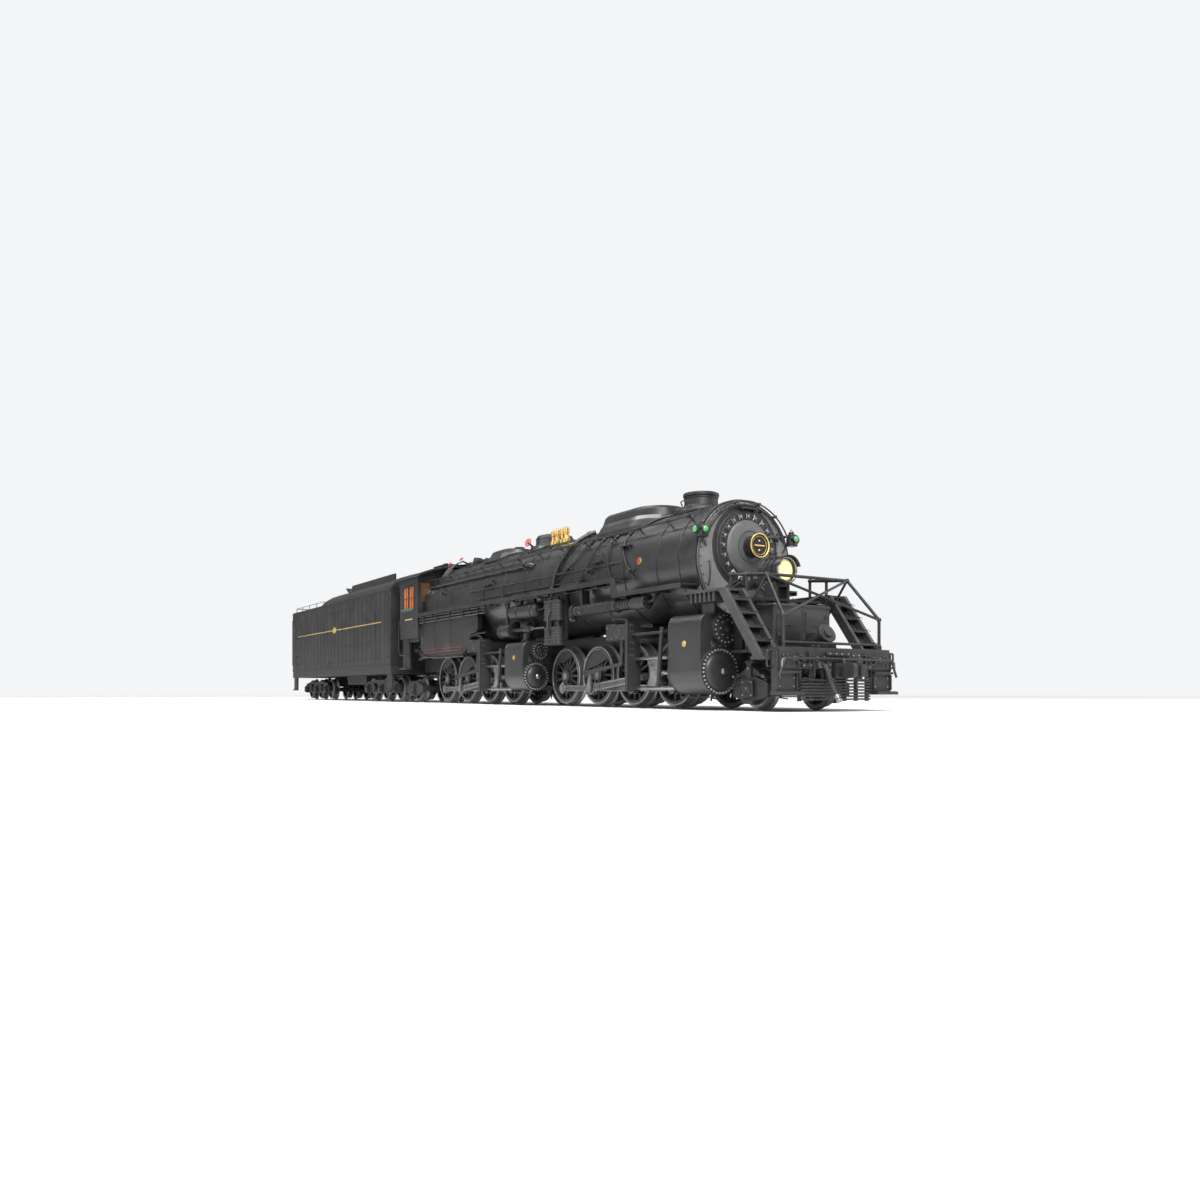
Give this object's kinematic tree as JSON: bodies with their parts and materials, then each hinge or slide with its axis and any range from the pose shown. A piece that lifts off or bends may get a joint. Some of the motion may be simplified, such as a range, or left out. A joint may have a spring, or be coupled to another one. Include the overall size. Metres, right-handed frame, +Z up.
{
  "type": "model train",
  "caption": "Articulated model steam locomotive with two sets of coupled driving wheels, rods and pistons, and a long tender on swivelling trucks.",
  "frame": {"origin": "middle of the plan, on the plane the wheel flanges stand on, half way between the two coupler tips", "axes": "+X runs forward along the train, +Y to its left, +Z up"},
  "size_m": [0.723, 0.0738, 0.1023],
  "materials": {
    "black_plastic": "matte black",
    "boiler_black": "satin black enamel",
    "brass": "polished",
    "circuit": "circuit board",
    "graphite": "matte graphite grey",
    "lamp_black": "black, with green and warm white lenses",
    "motor_steel": "plated steel can",
    "plate_black": "gloss black with a gold rim",
    "rod_steel": "dark burnished steel",
    "satin_black": "satin black enamel on die-cast metal",
    "smoke_metal": "sheet metal",
    "weathered_black": "matte black",
    "wheel_metal": "blackened cast metal with bright tyre edges",
    "wire_rail": "blackened wire"
  },
  "bodies": {
    "locomotive": {"boiler_shell": "boiler_black", "smokebox_front": "graphite", "number_plate": "plate_black", "smokestack": "weathered_black", "boiler_domes": "boiler_black", "safety_valves": "brass", "class_lamps": "lamp_black", "running_boards": "satin_black", "handrails": "wire_rail", "air_equipment": "weathered_black", "cab": "satin_black", "rear_engine_frame": "weathered_black", "rear_cylinders": "satin_black", "rear_motion_brackets": "weathered_black", "drive_motor": "motor_steel", "smoke_unit": "smoke_metal"},
    "front_engine": {"front_engine_frame": "weathered_black", "front_cylinders": "satin_black", "front_motion_brackets": "weathered_black", "pilot": "weathered_black", "pilot_railings": "wire_rail", "front_stairs": "weathered_black", "headlight": "lamp_black"},
    "tender": {"tender_body": "black_plastic", "tender_frame": "weathered_black", "sound_board": "circuit"},
    "drawbar": {"drawbar": "rod_steel"},
    "pony_truck": {"pony_truck_frame": "weathered_black"},
    "pony_wheels": {"pony_wheelset": "wheel_metal"},
    "trailing_truck": {"trailing_truck_frame": "weathered_black"},
    "trailing_wheels": {"trailing_wheelset": "wheel_metal"},
    "tender_truck_a": {"tender_truck_front": "weathered_black"},
    "tender_truck_b": {"tender_truck_rear": "weathered_black"},
    "rear_coupler": {"rear_coupler": "weathered_black"},
    "drivers_front_3": {"driver_front_3": "wheel_metal"},
    "drivers_front_1": {"driver_front_1": "wheel_metal"},
    "drivers_front_2": {"driver_front_2": "wheel_metal"},
    "drivers_front_4": {"driver_front_4": "wheel_metal"},
    "side_rod_front_right": {"side_rod_front_right": "rod_steel"},
    "main_rod_front_right": {"main_rod_front_right": "rod_steel"},
    "crosshead_front_right": {"crosshead_front_right": "rod_steel"},
    "side_rod_front_left": {"side_rod_front_left": "rod_steel"},
    "main_rod_front_left": {"main_rod_front_left": "rod_steel"},
    "crosshead_front_left": {"crosshead_front_left": "rod_steel"},
    "drivers_rear_3": {"driver_rear_3": "wheel_metal"},
    "drivers_rear_1": {"driver_rear_1": "wheel_metal"},
    "drivers_rear_2": {"driver_rear_2": "wheel_metal"},
    "drivers_rear_4": {"driver_rear_4": "wheel_metal"},
    "side_rod_rear_right": {"side_rod_rear_right": "rod_steel"},
    "main_rod_rear_right": {"main_rod_rear_right": "rod_steel"},
    "crosshead_rear_right": {"crosshead_rear_right": "rod_steel"},
    "side_rod_rear_left": {"side_rod_rear_left": "rod_steel"},
    "main_rod_rear_left": {"main_rod_rear_left": "rod_steel"},
    "crosshead_rear_left": {"crosshead_rear_left": "rod_steel"},
    "tender_wheels_1": {"tender_wheelset_1": "wheel_metal"},
    "tender_wheels_2": {"tender_wheelset_2": "wheel_metal"},
    "tender_wheels_3": {"tender_wheelset_3": "wheel_metal"},
    "tender_wheels_4": {"tender_wheelset_4": "wheel_metal"},
    "tender_wheels_5": {"tender_wheelset_5": "wheel_metal"},
    "tender_wheels_6": {"tender_wheelset_6": "wheel_metal"}
  },
  "joints": [
    {"name": "front_engine_swing", "type": "hinge", "parent": "locomotive", "child": "front_engine", "pos_m": [0.133, 0, 0.0152], "axis": [0, 0, 1], "range_deg": [-5, 5]},
    {"name": "front_axle_3_spin", "type": "hinge", "parent": "front_engine", "child": "drivers_front_3", "pos_m": [0.2004, 0, 0.01655], "axis": [0, 1, 0], "continuous": true},
    {"name": "front_axle_1_spin", "type": "hinge", "parent": "front_engine", "child": "drivers_front_1", "pos_m": [0.267, 0, 0.01655], "axis": [0, 1, 0], "continuous": true},
    {"name": "front_axle_2_spin", "type": "hinge", "parent": "front_engine", "child": "drivers_front_2", "pos_m": [0.2337, 0, 0.01655], "axis": [0, 1, 0], "continuous": true},
    {"name": "front_axle_4_spin", "type": "hinge", "parent": "front_engine", "child": "drivers_front_4", "pos_m": [0.1671, 0, 0.01655], "axis": [0, 1, 0], "continuous": true},
    {"name": "side_rod_front_right_turn", "type": "hinge", "parent": "drivers_front_3", "child": "side_rod_front_right", "pos_m": [0.20221, -0.0219, 0.00979], "axis": [0, 1, 0], "continuous": true},
    {"name": "main_rod_front_right_turn", "type": "hinge", "parent": "drivers_front_3", "child": "main_rod_front_right", "pos_m": [0.20221, -0.02425, 0.00979], "axis": [0, 1, 0], "continuous": true},
    {"name": "crosshead_front_right_slide", "type": "slide", "parent": "front_engine", "child": "crosshead_front_right", "axis": [1, 0, 0], "range_m": [-0.00845, 0.00555]},
    {"name": "side_rod_front_left_turn", "type": "hinge", "parent": "drivers_front_3", "child": "side_rod_front_left", "pos_m": [0.20716, 0.0219, 0.01836], "axis": [0, 1, 0], "continuous": true},
    {"name": "main_rod_front_left_turn", "type": "hinge", "parent": "drivers_front_3", "child": "main_rod_front_left", "pos_m": [0.20716, 0.02425, 0.01836], "axis": [0, 1, 0], "continuous": true},
    {"name": "crosshead_front_left_slide", "type": "slide", "parent": "front_engine", "child": "crosshead_front_left", "axis": [1, 0, 0], "range_m": [-0.01374, 0.00026]},
    {"name": "rear_axle_3_spin", "type": "hinge", "parent": "locomotive", "child": "drivers_rear_3", "pos_m": [0.0382, 0, 0.01655], "axis": [0, 1, 0], "continuous": true},
    {"name": "rear_axle_1_spin", "type": "hinge", "parent": "locomotive", "child": "drivers_rear_1", "pos_m": [0.1048, 0, 0.01655], "axis": [0, 1, 0], "continuous": true},
    {"name": "rear_axle_2_spin", "type": "hinge", "parent": "locomotive", "child": "drivers_rear_2", "pos_m": [0.0715, 0, 0.01655], "axis": [0, 1, 0], "continuous": true},
    {"name": "rear_axle_4_spin", "type": "hinge", "parent": "locomotive", "child": "drivers_rear_4", "pos_m": [0.0049, 0, 0.01655], "axis": [0, 1, 0], "continuous": true},
    {"name": "side_rod_rear_right_turn", "type": "hinge", "parent": "drivers_rear_3", "child": "side_rod_rear_right", "pos_m": [0.04001, -0.0219, 0.00979], "axis": [0, 1, 0], "continuous": true},
    {"name": "main_rod_rear_right_turn", "type": "hinge", "parent": "drivers_rear_3", "child": "main_rod_rear_right", "pos_m": [0.04001, -0.02425, 0.00979], "axis": [0, 1, 0], "continuous": true},
    {"name": "crosshead_rear_right_slide", "type": "slide", "parent": "locomotive", "child": "crosshead_rear_right", "axis": [1, 0, 0], "range_m": [-0.00845, 0.00555]},
    {"name": "side_rod_rear_left_turn", "type": "hinge", "parent": "drivers_rear_3", "child": "side_rod_rear_left", "pos_m": [0.04496, 0.0219, 0.01836], "axis": [0, 1, 0], "continuous": true},
    {"name": "main_rod_rear_left_turn", "type": "hinge", "parent": "drivers_rear_3", "child": "main_rod_rear_left", "pos_m": [0.04496, 0.02425, 0.01836], "axis": [0, 1, 0], "continuous": true},
    {"name": "crosshead_rear_left_slide", "type": "slide", "parent": "locomotive", "child": "crosshead_rear_left", "axis": [1, 0, 0], "range_m": [-0.01374, 0.00026]},
    {"name": "pony_truck_swing", "type": "hinge", "parent": "front_engine", "child": "pony_truck", "pos_m": [0.3, 0, 0.0108], "axis": [0, 0, 1], "range_deg": [-5, 5]},
    {"name": "pony_axle_spin", "type": "hinge", "parent": "pony_truck", "child": "pony_wheels", "pos_m": [0.323, 0, 0.00915], "axis": [0, 1, 0], "continuous": true},
    {"name": "trailing_truck_swing", "type": "hinge", "parent": "locomotive", "child": "trailing_truck", "pos_m": [-0.016, 0, 0.0095], "axis": [0, 0, 1], "range_deg": [-6, 6]},
    {"name": "trailing_axle_spin", "type": "hinge", "parent": "trailing_truck", "child": "trailing_wheels", "pos_m": [-0.049, 0, 0.00915], "axis": [0, 1, 0], "continuous": true},
    {"name": "drawbar_swing", "type": "hinge", "parent": "locomotive", "child": "drawbar", "pos_m": [-0.057, 0, 0.019], "axis": [0, 0, 1], "range_deg": [-8, 8]},
    {"name": "tender_swing", "type": "hinge", "parent": "drawbar", "child": "tender", "pos_m": [-0.079, 0, 0.019], "axis": [0, 0, 1], "range_deg": [-6, 6]},
    {"name": "tender_truck_a_swivel", "type": "hinge", "parent": "tender", "child": "tender_truck_a", "pos_m": [-0.118, 0, 0.018], "axis": [0, 0, 1], "range_deg": [-8, 8]},
    {"name": "tender_axle_1_spin", "type": "hinge", "parent": "tender_truck_a", "child": "tender_wheels_1", "pos_m": [-0.086, 0, 0.0102], "axis": [0, 1, 0], "continuous": true},
    {"name": "tender_axle_2_spin", "type": "hinge", "parent": "tender_truck_a", "child": "tender_wheels_2", "pos_m": [-0.118, 0, 0.0102], "axis": [0, 1, 0], "continuous": true},
    {"name": "tender_axle_3_spin", "type": "hinge", "parent": "tender_truck_a", "child": "tender_wheels_3", "pos_m": [-0.15, 0, 0.0102], "axis": [0, 1, 0], "continuous": true},
    {"name": "tender_truck_b_swivel", "type": "hinge", "parent": "tender", "child": "tender_truck_b", "pos_m": [-0.301, 0, 0.018], "axis": [0, 0, 1], "range_deg": [-8, 8]},
    {"name": "tender_axle_4_spin", "type": "hinge", "parent": "tender_truck_b", "child": "tender_wheels_4", "pos_m": [-0.269, 0, 0.0102], "axis": [0, 1, 0], "continuous": true},
    {"name": "tender_axle_5_spin", "type": "hinge", "parent": "tender_truck_b", "child": "tender_wheels_5", "pos_m": [-0.301, 0, 0.0102], "axis": [0, 1, 0], "continuous": true},
    {"name": "tender_axle_6_spin", "type": "hinge", "parent": "tender_truck_b", "child": "tender_wheels_6", "pos_m": [-0.333, 0, 0.0102], "axis": [0, 1, 0], "continuous": true},
    {"name": "rear_coupler_swing", "type": "hinge", "parent": "tender", "child": "rear_coupler", "pos_m": [-0.339, 0, 0.0153], "axis": [0, 0, 1], "range_deg": [-15, 15]}
  ],
  "couplings": [
    {"joint": "front_axle_1_spin", "follows": "front_axle_3_spin", "ratio": 1},
    {"joint": "front_axle_2_spin", "follows": "front_axle_3_spin", "ratio": 1},
    {"joint": "front_axle_4_spin", "follows": "front_axle_3_spin", "ratio": 1},
    {"joint": "side_rod_front_right_turn", "follows": "front_axle_3_spin", "ratio": -1},
    {"joint": "main_rod_front_right_turn", "follows": "front_axle_3_spin", "ratio": -1},
    {"joint": "side_rod_front_left_turn", "follows": "front_axle_3_spin", "ratio": -1},
    {"joint": "main_rod_front_left_turn", "follows": "front_axle_3_spin", "ratio": -1},
    {"joint": "rear_axle_1_spin", "follows": "rear_axle_3_spin", "ratio": 1},
    {"joint": "rear_axle_2_spin", "follows": "rear_axle_3_spin", "ratio": 1},
    {"joint": "rear_axle_4_spin", "follows": "rear_axle_3_spin", "ratio": 1},
    {"joint": "side_rod_rear_right_turn", "follows": "rear_axle_3_spin", "ratio": -1},
    {"joint": "main_rod_rear_right_turn", "follows": "rear_axle_3_spin", "ratio": -1},
    {"joint": "side_rod_rear_left_turn", "follows": "rear_axle_3_spin", "ratio": -1},
    {"joint": "main_rod_rear_left_turn", "follows": "rear_axle_3_spin", "ratio": -1}
  ]
}
